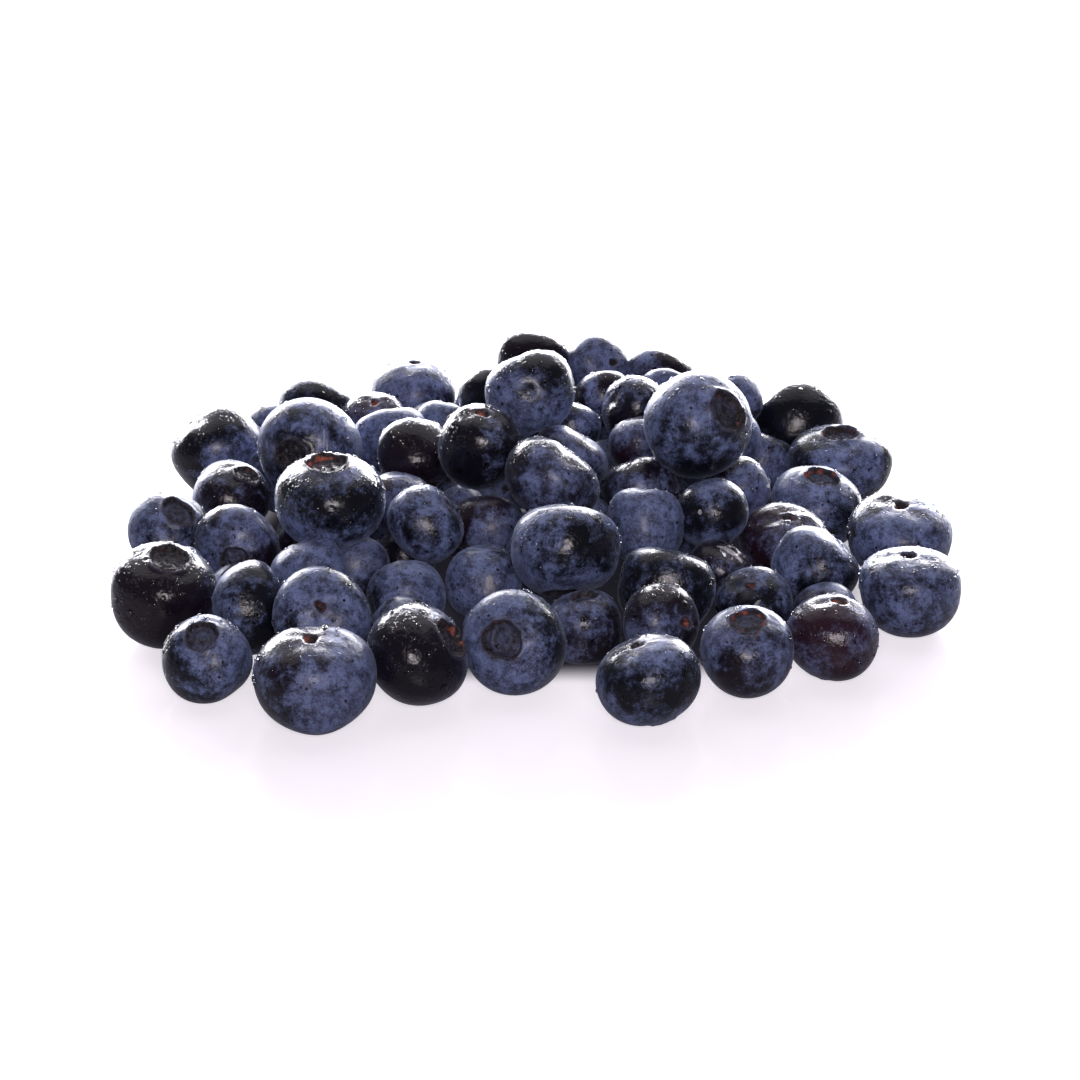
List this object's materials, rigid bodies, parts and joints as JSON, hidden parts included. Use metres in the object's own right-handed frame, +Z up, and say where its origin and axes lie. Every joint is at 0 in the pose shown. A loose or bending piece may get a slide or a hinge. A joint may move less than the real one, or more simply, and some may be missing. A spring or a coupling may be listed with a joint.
{
  "type": "heap of blueberries",
  "caption": "Loose heap of fresh blueberries of mixed sizes, piled two to three deep with an uneven outline, resting flat on its lowest berries.",
  "frame": {"origin": "middle of the heap's box in plan, on the surface that it rests on", "axes": "+Z up, -Y toward the viewer of the picture, +X to that viewer's right"},
  "size_m": [0.1406, 0.1362, 0.0333],
  "materials": {
    "berry_skin": "satin dark blue skin with a patchy grey-blue wax bloom",
    "berry_scar": "dull reddish brown inside of crowns and stem scars",
    "water": "clear water drops"
  },
  "bodies": {
    "root": {"blueberry_heap": "berry_skin"}
  },
  "joints": []
}
